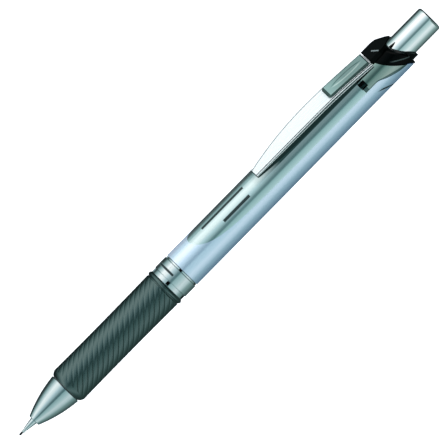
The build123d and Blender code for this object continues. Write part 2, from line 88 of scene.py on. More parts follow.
def spot(station, sideways, height):
    """The point at a station, distance sideways and height towards the clip's side, in metres."""
    return POINT + (ALONG * station + SIDE * sideways + TO_CLIP * height) * MM


# ---------------------------------------------------------------- camera

VIEW_TURN = 45.0  # the camera looks at this turn of the pencil
ROLL = radians(45.48)  # the axis climbs to the right by this angle in the picture
LENS = 1000.0  # long enough for a view almost free of perspective
SENSOR = 36.0
FAR = 20.0  # metres, well past the floor under the pencil
VIEW_WIDTH = 110.9 * MM
AIM_STATION = 72.75
AIM_OFFSET = 0.557 * MM  # from the axis towards the clip's side of the picture

view = TO_CLIP * cos(radians(VIEW_TURN)) + SIDE * sin(radians(VIEW_TURN))
over = -view.cross(ALONG)
right = ALONG * cos(ROLL) + over * sin(ROLL)
up = ALONG * sin(ROLL) - over * cos(ROLL)
aim = place(AIM_STATION, 0, 0) - over * AIM_OFFSET

camera = bpy.data.objects.new("camera", bpy.data.cameras.new("camera"))
camera.data.lens = LENS
camera.data.sensor_width = SENSOR
camera.data.clip_end = FAR
camera.matrix_world = Matrix.Translation(aim + view * VIEW_WIDTH * LENS / SENSOR) @ Matrix(
    (right, up, view)
).transposed().to_4x4()
bpy.context.scene.collection.objects.link(camera)
bpy.context.scene.camera = camera

# ---------------------------------------------------------------- node trees


class Tree:
    """A short way to write a node tree."""

    def __init__(self, tree):
        self.tree = tree
        tree.nodes.clear()

    def add(self, kind, settings=None, **inputs):
        """A new node, with its settings and inputs; an input is a value or a node's output."""
        node = self.tree.nodes.new("ShaderNode" + kind)
        for name, value in (settings or {}).items():
            setattr(node, name, value)
        for name, value in inputs.items():
            self.join(node.inputs[name.replace("_", " ")], value)
        return node

    def join(self, socket, value):
        """Links another node's output to the socket, or sets the socket's own value."""
        if isinstance(value, bpy.types.NodeSocket):
            self.tree.links.new(value, socket)
        else:
            socket.default_value = value

    def math(self, operation, first, second=0.0, third=0.0, clamp=False):
        """The result of one operation on up to three numbers."""
        node = self.tree.nodes.new("ShaderNodeMath")
        node.operation = operation
        node.use_clamp = clamp
        for socket, value in zip(node.inputs, (first, second, third)):
            self.join(socket, value)
        return node.outputs[0]

    def dot(self, vector, direction):
        """How far the vector reaches in a fixed direction."""
        node = self.tree.nodes.new("ShaderNodeVectorMath")
        node.operation = "DOT_PRODUCT"
        self.join(node.inputs[0], vector)
        self.join(node.inputs[1], tuple(direction))
        return node.outputs["Value"]

    def ramp(self, factor, stops):
        """A colour ramp through (position, colour) stops."""
        node = self.tree.nodes.new("ShaderNodeValToRGB")
        elements = node.color_ramp.elements
        while len(elements) > 1:
            elements.remove(elements[-1])
        elements[0].position, elements[0].color = stops[0][0], (*stops[0][1], 1)
        for position, colour in stops[1:]:
            elements.new(position).color = (*colour, 1)
        self.join(node.inputs[0], factor)
        return node.outputs[0]

    def fade(self, factor, stops):
        """A number that runs through (position, amount) stops."""
        return self.ramp(factor, [(position, (amount,) * 3) for position, amount in stops])

    def mix(self, factor, first, second):
        """The first colour at factor 0, the second at factor 1."""
        node = self.tree.nodes.new("ShaderNodeMix")
        node.data_type = "RGBA"
        self.join(node.inputs[0], factor)
        self.join(node.inputs[6], first)
        self.join(node.inputs[7], second)
        return node.outputs[2]


# ---------------------------------------------------------------- studio

STUDIO = [  # what shows at each angle about the pencil's axis, from the camera's side
    (-180, (0.02, 0.03, 0.03)),
    (-135, (0.04, 0.06, 0.06)),
    (-122, (0.06, 0.09, 0.09)),
    (-105, (0.28, 0.42, 0.42)),
    (-84, (0.68, 0.8, 0.81)),
    (-64, (1.25, 1.25, 1.25)),
    (-46, (1.06, 1.1, 1.1)),
    (-28, (0.6, 0.75, 0.8)),
    (-12, (0.33, 0.46, 0.48)),
    (-4, (0.15, 0.24, 0.26)),
    (5, (0.1, 0.2, 0.21)),
    (12, (0.33, 0.5, 0.51)),
    (38, (0.54, 0.7, 0.71)),
    (55, (0.75, 0.85, 0.86)),
    (74, (0.58, 0.7, 0.71)),
    (92, (0.27, 0.4, 0.39)),
    (125, (0.1, 0.16, 0.155)),
    (180, (0.02, 0.03, 0.03)),
]
LOW_SHADE = (0.12, 0.19, 0.18, 1)  # stands in for the lower walls, towards the pencil's rear
LOW_SHADE_ANGLES = [(8, 0), (24, 1), (120, 1), (140, 0)]  # (angle about the axis, amount)
LOW_SHADE_LEAN = [(0.06, 0), (0.18, 1)]  # (how far a direction leans to the rear, amount)
END_SHADE = (0.02, 0.035, 0.035, 1)  # the dark end of the room, beyond the pencil's rear
END_SHADE_LEAN = [(0.72, 0), (0.84, 1)]
FLOOR_REACH = 4.0  # metres
FLOOR_GAP = 0.02
FLOOR_GREY = (0.35, 0.35, 0.35, 1)
FLOOR_GLOW = (0.93, 0.96, 1, 1)
FLOOR_GLOW_STRENGTH = 1.4


def ramp_place(angle):
    """The position on a ramp of an angle about the axis; the ramp runs once round."""
    return 0.5 + angle / 360


def studio_world():
    """Soft walls of light that run along the pencil: broad ones above, a narrow strip below."""
    world = bpy.data.worlds.new("studio")
    world.use_nodes = True
    bpy.context.scene.world = world
    tree = Tree(world.node_tree)
    direction = tree.add("TexCoord").outputs["Generated"]
    around = tree.math("ARCTAN2", tree.dot(direction, over), tree.dot(direction, view))
    position = tree.math("MULTIPLY_ADD", around, 0.5 / pi, 0.5)
    lean = tree.dot(direction, ALONG)
    walls = tree.ramp(position, [(ramp_place(angle), colour) for angle, colour in STUDIO])
    low = tree.fade(position, [(ramp_place(angle), amount) for angle, amount in LOW_SHADE_ANGLES])
    shade = tree.math("MULTIPLY", low, tree.fade(lean, LOW_SHADE_LEAN))
    walls = tree.mix(shade, walls, LOW_SHADE)
    room = tree.mix(tree.fade(lean, END_SHADE_LEAN), walls, END_SHADE)
    background = tree.add("Background", Color=room, Strength=1.0)
    output = tree.add("OutputWorld")
    tree.join(output.inputs["Surface"], background.outputs[0])


def studio_floor():
    """A plain pale floor, lit from within like a light table."""
    mesh = bpy.data.meshes.new("floor")
    corners = ((-1, -1), (1, -1), (1, 1), (-1, 1))
    mesh.from_pydata([(x * FLOOR_REACH, y * FLOOR_REACH, 0) for x, y in corners], [], [range(4)])
    floor = bpy.data.objects.new("floor", mesh)
    bpy.context.scene.collection.objects.link(floor)
    floor.location.z = cad_box[0][2] - FLOOR_GAP * MM
    floor.visible_glossy = False
    material = bpy.data.materials.new("floor")
    material.use_nodes = True
    tree = Tree(material.node_tree)
    shader = tree.add("BsdfPrincipled", Base_Color=FLOOR_GREY, Roughness=0.8)
    shader.inputs["Emission Color"].default_value = FLOOR_GLOW
    shader.inputs["Emission Strength"].default_value = FLOOR_GLOW_STRENGTH
    output = tree.add("OutputMaterial")
    tree.join(output.inputs["Surface"], shader.outputs[0])
    mesh.materials.append(material)


studio_world()
studio_floor()
bpy.context.scene.view_settings.view_transform = "Standard"

# ---------------------------------------------------------------- materials


class Finish(Tree):
    """A material's node tree, with a place to join colour, roughness and bump."""

    def __init__(self, name, **inputs):
        self.material = bpy.data.materials.new(name)
        self.material.use_nodes = True
        super().__init__(self.material.node_tree)
        self.shader = self.add("BsdfPrincipled", **inputs)
        output = self.add("OutputMaterial")
        self.join(output.inputs["Surface"], self.shader.outputs[0])
        self.position = self.add("TexCoord").outputs["Object"]

    def set(self, name, value):
        """Gives the shader's input a value or another node's output."""
        self.join(self.shader.inputs[name], value)

    def measure(self):
        """Station, height towards the clip's side, and distance sideways, in millimetres."""
        from_point = self.add("VectorMath", {"operation": "SUBTRACT"})
        self.join(from_point.inputs[0], self.position)
        self.join(from_point.inputs[1], tuple(POINT))
        ways = (ALONG, TO_CLIP, SIDE)
        return [self.dot(from_point.outputs[0], way / MM) for way in ways]

    def noise(self, size, detail=3.0, stretch=(1, 1, 1)):
        """Noise from 0 to 1 with grains of this size, longer along an axis where stretch is small."""
        scale = tuple(share / (size * MM) for share in stretch)
        mapping = self.add("Mapping", Vector=self.position, Scale=scale)
        texture = self.add("TexNoise", Vector=mapping.outputs[0], Scale=1.0, Detail=detail)
        return texture.outputs["Fac"]

    def speckle(self, grain, shade, colour, low=0.3, high=0.7):
        """The colour, darkened by the shade where the grain is low."""
        return self.ramp(grain, [(low, [part * shade for part in colour]), (high, colour)])

    def between(self, factor, low, high):
        """A factor from 0 to 1, turned into a number from low to high."""
        return self.math("MULTIPLY_ADD", factor, high - low, low)

    def line(self, value, start, level, slope, clamp=False):
        """The straight line that passes the start at this level, with this slope."""
        return self.math("MULTIPLY_ADD", value, slope, level - slope * start, clamp)

    def past(self, value, edge, softness):
        """0 short of the edge and 1 past it, with a soft step."""
        return self.line(value, edge, 0.5, 1 / softness, clamp=True)

    def within(self, value, middle, reach, softness):
        """1 where the value lies within reach of the middle, 0 further off, with a soft edge."""
        off = self.math("ABSOLUTE", self.math("SUBTRACT", value, middle))
        return self.past(self.math("SUBTRACT", reach, off), 0.0, softness)

    def beyond(self, value, start):
        """How far the value lies beyond the start, or 0 before it."""
        return self.math("MAXIMUM", self.math("SUBTRACT", value, start), 0.0)

    def both(self, first, second):
        """Where two masks overlap."""
        return self.math("MULTIPLY", first, second)

    def either(self, first, second):
        """Where at least one of two masks lies."""
        return self.math("MAXIMUM", first, second)

    def outside(self, mask):
        """Where the mask isn't."""
        return self.math("SUBTRACT", 1.0, mask)

    def bump(self, height, depth):
        """Bumps of this depth, in millimetres."""
        node = self.add("Bump", Height=height, Strength=1.0, Distance=depth * MM)
        self.set("Normal", node.outputs[0])


def wear_in(finish, smooth=0.06, rough=0.14, scratch=0.0006):
    """Gives a metal finish hair-fine wear along the axis, and returns where it is worn."""
    wear = finish.noise(0.9, detail=4.0, stretch=(0.15, 1, 1))
    finish.set("Roughness", finish.between(wear, smooth, rough))
    finish.bump(finish.noise(0.12, stretch=(0.05, 1, 1)), scratch)
    return wear


def metal(name, colour, smooth=0.06, rough=0.14, scratch=0.0006):
    """Plated or polished metal, from smooth to rough where it is worn, with fine scratches."""
    finish = Finish(name, Metallic=1.0)
    wear = wear_in(finish, smooth, rough, scratch)
    finish.set("Base Color", finish.speckle(wear, 0.94, colour))
    return finish.material


def moulded(name, colour, smooth=0.3, rough=0.42, grain=0.3, depth=0.004):
    """Moulded plastic, a little uneven in colour, with a faint grain of this size and depth."""
    finish = Finish(name)
    blotch = finish.noise(2.5)
    finish.set("Base Color", finish.speckle(blotch, 0.88, colour, 0.25, 0.75))
    finish.set("Roughness", finish.between(blotch, smooth, rough))
    finish.bump(finish.noise(grain), depth)
    return finish.material


CROWN_TOP = 6.2  # the crown's top lies above this height
CROWN_BAR_STATION = 129.4
CROWN_BAR_SIDE = 1.0
CROWN_BAR_SLANT = radians(52)
CROWN_BAR_HALF_LENGTH = 1.1
CROWN_BAR_HALF_WIDTH = 0.17
CROWN_BAR_GREY = (0.22, 0.26, 0.26, 1)
SLANT_HIGHLIGHT_START = 132.2  # a station on the painted highlight along the crown's slant
SLANT_HIGHLIGHT_HEIGHT = 1.97  # its height there
SLANT_HIGHLIGHT_SLOPE = -0.573
SLANT_HIGHLIGHT_MIDDLE = 132.4
SLANT_HIGHLIGHT_HALF_LENGTH = 1.9
SLANT_HIGHLIGHT_HALF_WIDTH = 0.14
SLANT_HIGHLIGHT_GREY = (0.1, 0.13, 0.125, 1)


def black_gloss():
    """Gloss black moulding, with a painted highlight along the crown's slant and a grey bar on top.
    """
    finish = Finish("black_gloss", IOR=1.45)
    finish.shader.inputs["Specular IOR Level"].default_value = 0.07
    haze = finish.noise(1.6)
    black = finish.ramp(haze, [(0.3, (0.0005, 0.001, 0.001)), (0.8, (0.001, 0.002, 0.002))])
    station, height, sideways = finish.measure()

    # painted highlight: a lighter grey line along the crown's slant
    line = finish.line(station, SLANT_HIGHLIGHT_START, SLANT_HIGHLIGHT_HEIGHT, SLANT_HIGHLIGHT_SLOPE)
    off_line = finish.math("SUBTRACT", height, line)
    slant_highlight = finish.both(
        finish.within(off_line, 0.0, SLANT_HIGHLIGHT_HALF_WIDTH, softness=0.16),
        finish.within(station, SLANT_HIGHLIGHT_MIDDLE, SLANT_HIGHLIGHT_HALF_LENGTH, softness=1.2),
    )
    highlighted = finish.mix(slant_highlight, black, SLANT_HIGHLIGHT_GREY)

    rearward = finish.math("SUBTRACT", station, CROWN_BAR_STATION)
    outward = finish.math("SUBTRACT", sideways, CROWN_BAR_SIDE)
    outward_along = finish.math("MULTIPLY", outward, sin(CROWN_BAR_SLANT))
    outward_aside = finish.math("MULTIPLY", outward, -cos(CROWN_BAR_SLANT))
    along = finish.math("MULTIPLY_ADD", rearward, cos(CROWN_BAR_SLANT), outward_along)
    aside = finish.math("MULTIPLY_ADD", rearward, sin(CROWN_BAR_SLANT), outward_aside)
    bar = finish.both(
        finish.within(along, 0.0, CROWN_BAR_HALF_LENGTH, softness=0.08),
        finish.within(aside, 0.0, CROWN_BAR_HALF_WIDTH, softness=0.08),
    )
    on_top = finish.math("GREATER_THAN", height, CROWN_TOP)
    finish.set("Base Color", finish.mix(finish.both(bar, on_top), highlighted, CROWN_BAR_GREY))
    finish.set("Roughness", finish.between(haze, 0.08, 0.16))
    finish.bump(finish.noise(0.8), 0.003)
    return finish.material


def grip_rubber():
    """Soft charcoal rubber with a broad sheen, a little dusty."""
    finish = Finish("grip_rubber", IOR=1.9)
    finish.shader.inputs["Specular IOR Level"].default_value = 0.8
    finish.shader.inputs["Specular Tint"].default_value = (0.67, 1.0, 0.97, 1)
    dust = finish.noise(0.5, detail=5.0)
    charcoal = [(0.3, (0.001, 0.002, 0.002)), (0.75, (0.003, 0.005, 0.005))]
    finish.set("Base Color", finish.ramp(dust, charcoal))
    finish.set("Roughness", finish.between(dust, 0.21, 0.29))
    finish.bump(finish.noise(0.09, detail=2.0), 0.005)
    return finish.material


SILVER = (0.72, 0.86, 0.86)
PEARL = (0.84, 0.93, 1.0)
PEARL_GLOW = (0.006, 0.03, 0.095, 1)  # painted glow: a faint blue emission that stands in for the lacquer's blue
GAP_GLOW = (0.01, 0.025, 0.025, 1)  # painted light: a faint glow in the painted shade under the clip
NO_GLOW = (0, 0, 0, 1)
# the print's dark colour, also used for the dark arc and as painted shade under the clip and in the
# recess
INK_AND_SHADE = (0.012, 0.03, 0.03, 1)
PANEL_NOSE = 63.4
PANEL_RUN = 6.3  # how gently the panel's sides spread behind its nose
PANEL_HALF_TURN = radians(66.7)
BARS = [(75.2, 7.2, 0.0), (77.7, 4.5, 33.4)]  # (middle station, half length, turn) of plain bars
BAR_HALF_TURN = radians(4.4)
SCALLOP_FRONT = 122.4  # the dark arc on the barrel's side starts here,
SCALLOP_REAR = 127.6  # ends here,
SCALLOP_HEIGHT = 0.03  # starts at this height,
SCALLOP_SLOPE = 0.25  # and falls away with this slope,
SCALLOP_BEND = 0.085  # which grows by twice this for each millimetre
SCALLOP_WIDENING = (-0.05, 0.2, 2.0)  # half its width in front, how fast it grows, and how far
RECESS_RADIUS = 5.02  # nearer the axis than this, the barrel is painted dark as the shaded floor of a recess
CLIP_SHADE_MIDDLE = 107.5  # where the painted shade under the clip lies along the barrel
CLIP_SHADE_HALF_LENGTH = 18.5
DEEP_SHADE_HALF_TURN = radians(32.5)
PALE_SHADE_HALF_TURN = radians(42)
PALE_SHADE = 0.55  # how dark the painted shade's soft border is


def panel_mask(finish, station, turn):
    """1 on the panel: its sides spread from its nose and then run level."""
    run = finish.beyond(station, PANEL_NOSE)
    fall = finish.math("EXPONENT", finish.math("MULTIPLY", run, -1 / PANEL_RUN))
    spread = finish.math("SQRT", finish.math("SUBTRACT", 1.0, fall))
    return finish.within(turn, 0.0, finish.math("MULTIPLY", spread, PANEL_HALF_TURN), softness=0.03)


def print_mask(finish, station, turn):
    """1 on the plain bars that stand in for the print."""
    mask = 0.0
    for middle, half_length, bar_turn in BARS:
        lengthwise = finish.within(station, middle, half_length, softness=0.1)
        crosswise = finish.within(turn, radians(bar_turn), BAR_HALF_TURN, softness=0.02)
        mask = finish.either(mask, finish.both(lengthwise, crosswise))
    return mask


def scallop_mask(finish, station, height):
    """1 on the dark arc that falls away along the barrel's side near the crown."""
    run = finish.beyond(station, SCALLOP_FRONT)
    sag = finish.both(run, finish.math("MULTIPLY_ADD", run, SCALLOP_BEND, SCALLOP_SLOPE))
    off_arc = finish.math("ADD", finish.math("SUBTRACT", height, SCALLOP_HEIGHT), sag)
    start, growth, reach = SCALLOP_WIDENING
    half_width = finish.math("MULTIPLY_ADD", finish.math("MINIMUM", run, reach), growth, start)
    before_rear = finish.math("LESS_THAN", station, SCALLOP_REAR)
    return finish.both(finish.within(off_arc, 0.0, half_width, softness=0.12), before_rear)


def barrel_pearl():
    """Pearl blue lacquer, with a silver panel that runs back under the clip from its nose, painted
    shade under the clip and in the recess, and a painted blue glow.
    """
    finish = Finish("barrel_pearl")
    station, height, sideways = finish.measure()
    turn = finish.math("ARCTAN2", sideways, height)
    squares = finish.math("MULTIPLY_ADD", height, height, finish.both(sideways, sideways))
    # painted shade: the barrel's floor in the recess is coloured dark
    recess = finish.math("LESS_THAN", finish.math("SQRT", squares), RECESS_RADIUS)
    panel = panel_mask(finish, station, turn)
    dull = finish.either(print_mask(finish, station, turn), scallop_mask(finish, station, height))
    dull = finish.either(dull, recess)
    # painted shade under the clip: a dark core and a paler soft border
    under_clip = finish.within(station, CLIP_SHADE_MIDDLE, CLIP_SHADE_HALF_LENGTH, softness=9.0)
    deep = finish.both(under_clip, finish.within(turn, 0.0, DEEP_SHADE_HALF_TURN, softness=0.07))
    border = finish.both(finish.within(turn, 0.0, PALE_SHADE_HALF_TURN, softness=0.25), PALE_SHADE)
    shade = finish.either(deep, finish.both(under_clip, border))

    flake = finish.noise(0.05, detail=1.0)
    cloud = finish.noise(6.0, detail=2.0)
    pearl = finish.speckle(flake, 0.96, PEARL)
    silver = finish.speckle(flake, 0.94, SILVER)
    lacquer = finish.mix(shade, finish.mix(panel, pearl, silver), INK_AND_SHADE)
    gap = finish.mix(deep, NO_GLOW, GAP_GLOW)
    finish.set("Base Color", finish.mix(dull, lacquer, INK_AND_SHADE))
    finish.set("Metallic", finish.both(finish.between(panel, 0.62, 0.95), finish.outside(dull)))
    # painted glow: blue over the pearl, and a faint light in the painted shade under the clip
    finish.set("Emission Color", finish.mix(finish.either(panel, dull), PEARL_GLOW, gap))
    finish.shader.inputs["Emission Strength"].default_value = 1.0
    roughness = finish.between(panel, 0.12, 0.1)
    finish.set("Roughness", finish.math("MULTIPLY_ADD", cloud, 0.04, roughness))
    finish.bump(flake, 0.0008)
    return finish.material


def clip_steel():
    """Satin-white steel sheet with a trace of brushing."""
    finish = Finish("clip_steel")
    brushing = finish.noise(0.16, stretch=(0.04, 1, 1))
    finish.set("Base Color", finish.ramp(brushing, [(0.3, (0.95, 0.97, 0.97)), (0.7, (1, 1, 1))]))
    finish.set("Metallic", 0.2)
    finish.set("Roughness", finish.between(brushing, 0.22, 0.32))
    finish.bump(brushing, 0.0006)
    return finish.material


BAND_BAR_STATION = 54.8
BAND_BAR_HALF_WIDTH = 0.3
BAND_BAR_TURN = radians(5)
BAND_BAR_HALF_TURN = radians(34)


def banded_chrome():
    """The joint band's chrome, with one plain dark bar part of the way round it."""
    finish = Finish("ring_chrome")
    station, height, sideways = finish.measure()
    turn = finish.math("ARCTAN2", sideways, height)
    bar = finish.both(
        finish.within(station, BAND_BAR_STATION, BAND_BAR_HALF_WIDTH, softness=0.1),
        finish.within(turn, BAND_BAR_TURN, BAND_BAR_HALF_TURN, softness=0.02),
    )
    plating = finish.ramp(wear_in(finish), [(0.3, (0.68, 0.75, 0.76)), (0.7, (0.75, 0.83, 0.84))])
    finish.set("Base Color", finish.mix(bar, plating, INK_AND_SHADE))
    finish.set("Metallic", finish.outside(bar))
    return finish.material


SADDLE_SHADE_HEIGHT = 3.18  # above this height the saddle is darker: smoked plating with painted shade from the clip
SADDLE_LIP = 121.7  # painted shadow: the front edge, short of this station, is dark
SADDLE_WING = (124.6, 2.094, -0.31)  # station and height where its low edge starts to fall, slope
SADDLE_TAIL = (134.2, -0.888, -0.14)  # and the same where the slope eases
SADDLE_OUTLINE = 0.26
SADDLE_UPPER_SHADED = (0.32, 0.42, 0.37, 1)
SADDLE_LOWER = (0.38, 0.46, 0.42, 1)
SADDLE_DARK = (0.11, 0.17, 0.165, 1)


def smoked_saddle():
    """Smoked plating, with painted shade on its upper part under the clip, painted shadow at the
    front edge, and darker along the low edge.
    """
    finish = Finish("saddle_smoked", Metallic=1.0)
    station, height, _ = finish.measure()
    # painted shade from the clip above this height, and painted shadow on the front lip
    upper = finish.math("GREATER_THAN", height, SADDLE_SHADE_HEIGHT)
    stepped = finish.mix(upper, SADDLE_LOWER, SADDLE_UPPER_SHADED)
    behind_corner = finish.math("MAXIMUM", station, SADDLE_WING[0])
    low_edge = finish.math(
        "MAXIMUM", finish.line(behind_corner, *SADDLE_WING), finish.line(station, *SADDLE_TAIL)
    )
    outline = finish.math("LESS_THAN", height, finish.math("ADD", low_edge, SADDLE_OUTLINE))
    lip = finish.math("LESS_THAN", station, SADDLE_LIP)
    finish.set("Base Color", finish.mix(finish.either(lip, outline), stepped, SADDLE_DARK))
    wear_in(finish, 0.08, 0.16)
    return finish.material


INLAY_HIGHLIGHT_FADE = 117.0  # behind this station the inlay's plating is darker; in front of it a painted highlight makes it lighter
INLAY_HIGHLIGHT_SOFTNESS = 5.0
HIGHLIT_PLATING = (0.54, 0.71, 0.68, 1)
SMOKED_PLATING = (0.36, 0.47, 0.45, 1)


def inlay_plating():
    """Smoked plating, with a painted highlight that makes it lighter at the inlay's front than
    towards its rear.
    """
    finish = Finish("inlay_smoked", Metallic=1.0)
    station, _, _ = finish.measure()
    # painted highlight towards the inlay's front
    rear = finish.past(station, INLAY_HIGHLIGHT_FADE, INLAY_HIGHLIGHT_SOFTNESS)
    finish.set("Base Color", finish.mix(rear, HIGHLIT_PLATING, SMOKED_PLATING))
    wear_in(finish, 0.1, 0.18)
    return finish.material


CHROME = (0.64, 0.73, 0.74)
BRIGHT_CHROME = (0.97, 1.0, 1.0)
GRAPHITE = (0.03, 0.03, 0.033)
BRASS = (0.82, 0.66, 0.36)
PALE_BRASS = (0.86, 0.7, 0.4)

# The numbers after a colour are the roughness where it is smooth and where it is rough; then come a
# metal's depth of scratches, or the size and the depth of a moulding's grain.
LOOKS = {
    "writing_lead": moulded("graphite", GRAPHITE, 0.3, 0.4, 0.06, 0.003),
    "spare_leads": moulded("spare_graphite", GRAPHITE, 0.3, 0.4, 0.06, 0.003),
    "lead_sleeve": metal("sleeve_steel", (0.75, 0.8, 0.8), 0.12, 0.2),
    "tip_cone": metal("cone_chrome", CHROME, 0.02, 0.06),
    "push_button": metal("button_chrome", BRIGHT_CHROME, 0.02, 0.06),
    "joint_ring": banded_chrome(),
    "lead_retainer": moulded("retainer_rubber", (0.02, 0.02, 0.02), 0.5, 0.6),
    "chuck": metal("chuck_brass", BRASS, 0.15, 0.28, 0.001),
    "clutch_ring": metal("clutch_brass", PALE_BRASS, 0.15, 0.28, 0.001),
    "thread_bush": metal("bush_brass", BRASS, 0.2, 0.3, 0.001),
    "chuck_spring": metal("spring_steel", (0.66, 0.68, 0.7), 0.15, 0.25),
    "spring_housing": moulded("housing_plastic", (0.75, 0.75, 0.72)),
    "tank_coupling": moulded("coupling_plastic", (0.25, 0.27, 0.28)),
    "lead_tank": moulded("tank_plastic", (0.78, 0.79, 0.78)),
    "eraser_ferrule": metal("ferrule_steel", (0.74, 0.76, 0.77), 0.15, 0.28),
    "eraser": moulded("eraser_vinyl", (0.86, 0.85, 0.82), 0.6, 0.75, 0.12, 0.01),
    "grip_core": moulded("core_plastic", (0.07, 0.08, 0.085)),
    "guide_bush": moulded("bush_plastic", (0.2, 0.21, 0.22)),
    "rear_barrel": barrel_pearl(),
    "clip_saddle": smoked_saddle(),
    "crown": black_gloss(),
    "clip": clip_steel(),
    # painted shade: a dark metal for the clip's tip, underside and the walls beside its beads
    "clip_shade": metal("clip_shade", (0.06, 0.09, 0.09), 0.25, 0.4),
    "inlay_edge": metal("inlay_edge", (0.09, 0.14, 0.13), 0.12, 0.2),
    "clip_inlay": inlay_plating(),
    "rubber_grip": grip_rubber(),
}
for node_name, node in frame["nodes"].items():
    for slot in node.material_slots:
        slot.material = LOOKS[node_name]

# ---------------------------------------------------------------- pieces finer than the CAD's

SHARP_ANGLE = radians(38)


def skin(name, loops, materials, closed=True, second=None):
    """A smooth mesh over closed loops of points. The last loop meets the first, or both are capped.

    second says, for a loop's and a point's number, whether the face there has the second material.
    """
    count = len(loops[0])
    faces = []
    marks = []
    for row in range(len(loops) if closed else len(loops) - 1):
        here = row * count
        there = (row + 1) % len(loops) * count
        for column in range(count):
            beyond = (column + 1) % count
            faces.append((here + column, here + beyond, there + beyond, there + column))
            marks.append(1 if second and second(row, column) else 0)
    if not closed:
        faces += [range(count), range((len(loops) - 1) * count, len(loops) * count)]
        marks += [0, 0]
    mesh = bpy.data.meshes.new(name)
    mesh.from_pydata([point for loop in loops for point in loop], [], faces)
    for material in materials:
        mesh.materials.append(material)
    mesh.polygons.foreach_set("material_index", marks)
    work = bmesh.new()
    work.from_mesh(mesh)
    bmesh.ops.recalc_face_normals(work, faces=work.faces)
    work.to_mesh(mesh)
    work.free()
    mesh.shade_smooth()
    mesh.set_sharp_from_angle(angle=SHARP_ANGLE)
    piece = bpy.data.objects.new(name, mesh)
    bpy.context.scene.collection.objects.link(piece)
    return piece


def stand_for(piece, node, body):
    """The piece takes the CAD node's place and moves with its body."""
    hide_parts(node)
    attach(piece, body)


def steps(start, end, count):
    """Evenly spaced numbers from start to end, both included."""
    return [start + (end - start) * i / count for i in range(count + 1)]


def bow(first, middle, last, station):
    """The value at a station of the shallow curve through three (station, value) points."""
    (a, p), (b, q), (c, r) = first, middle, last
    return (
        p * (station - b) * (station - c) / ((a - b) * (a - c))
        + q * (station - a) * (station - c) / ((b - a) * (b - c))
        + r * (station - a) * (station - b) / ((c - a) * (c - b))
    )


def polyline(corners, station):
    """The value at a station of the straight runs through (station, value) corners."""
    for (a, p), (b, q) in zip(corners, corners[1:]):
        if station <= b:
            return p + (q - p) * max(0.0, station - a) / (b - a)
    return corners[-1][1]


def rounding(distance, radius):
    """How far a rounded corner of this radius draws back, at this distance from its end."""
    part = max(0.0, 1 - distance / radius)
    return radius * (1 - sqrt(max(0.0, 1 - part**2)))


CORE_RADIUS = 4.15
GRIP_FRONT = 16.4
GRIP_SHOULDER = 17.7
GRIP_RING_FRONT = 50.45
GRIP_REAR = 51.9
GRIP_WAIST = [(17.6, 5.14), (31.5, 5.05), (GRIP_RING_FRONT, 5.18)]  # (station, radius)
GRIP_CHAMFER = 0.74  # how far its front edge draws in
GRIP_CHAMFER_POWER = 1.6
GRIP_COLUMNS = 256
GRIP_ROWS = 230
GROOVES = 16
GROOVE_LEAD = 28.8  # along the grip for one turn of a groove
GROOVE_DEPTH = 0.1
GROOVE_WIDTH = 0.13  # as a share of the distance from groove to groove
GROOVE_FRONT_FADE = 0.5
GROOVE_REAR_FADE = 0.3
GRIP_RING = [  # (station, radius) corners of the ring at its rear
    (50.45, 5.1), (50.55, 5.02), (50.7, 5.04), (50.85, 5.2), (51.0, 5.33),
    (51.2, 5.41), (51.4, 5.4), (51.6, 5.3), (51.78, 5.16), (51.9, 5.02),
]


def grip_radius(station, turn):
    """The grip's outside: a chamfered front, a slight waist with helical grooves, and a ring."""
    if station >= GRIP_RING_FRONT:
        return polyline(GRIP_RING, station)
    chamfer = max(0.0, (GRIP_SHOULDER - station) / (GRIP_SHOULDER - GRIP_FRONT))
    phase = GROOVES * (turn / 360 + station / GROOVE_LEAD) % 1 - 0.5
    front = max(0.0, station - GRIP_SHOULDER) / GROOVE_FRONT_FADE
    rear = (GRIP_RING_FRONT - station) / GROOVE_REAR_FADE
    groove = GROOVE_DEPTH * min(1.0, front, rear) * exp(-((phase / GROOVE_WIDTH) ** 2))
    return bow(*GRIP_WAIST, station) - GRIP_CHAMFER * chamfer**GRIP_CHAMFER_POWER - groove


def grip():
    """The soft grip, with real helical grooves."""
    turns = steps(0, 360, GRIP_COLUMNS)[:-1]
    stations = steps(GRIP_FRONT, GRIP_RING_FRONT, GRIP_ROWS)
    stations += [station for station, _ in GRIP_RING[1:]]
    loops = []
    for station in stations:
        loops.append([place(station, grip_radius(station, turn), turn) for turn in turns])
    for station in (GRIP_REAR, GRIP_FRONT):
        loops.append([place(station, CORE_RADIUS, turn) for turn in turns])
    piece = skin("soft_grip", loops, [LOOKS["rubber_grip"]])
    stand_for(piece, "rubber_grip", "barrel")


BAND_PROFILE = [  # (station, radius) corners, from the bore's front edge to its rear edge
    (51.9, CORE_RADIUS), (51.9, 4.96), (51.96, 5.02), (52.06, 5.02),
    (52.12, 5.02), (53.02, 5.02),
    (53.06, 5.02), (53.1, 4.94), (53.16, 4.94), (53.2, 5.13), (53.27, 5.2),
    (56.72, 5.2), (56.8, 5.13), (56.84, 4.9),
    (56.88, 4.98), (57.3, 4.98),
    (57.4, 4.9), (57.4, CORE_RADIUS),
]
SLOT_ROWS = (4, 14)  # the first corners of the profile's runs that the slots cut through
SLOT_TURNS = [43 + 72 * number for number in range(5)]
SLOT_HALF_WIDTH = 4.6  # degrees
SLOT_DEPTH = 0.3


def in_slot(turn):
    """Whether a slot lies at this turn."""
    return any(abs((turn - middle + 180) % 360 - 180) < SLOT_HALF_WIDTH for middle in SLOT_TURNS)


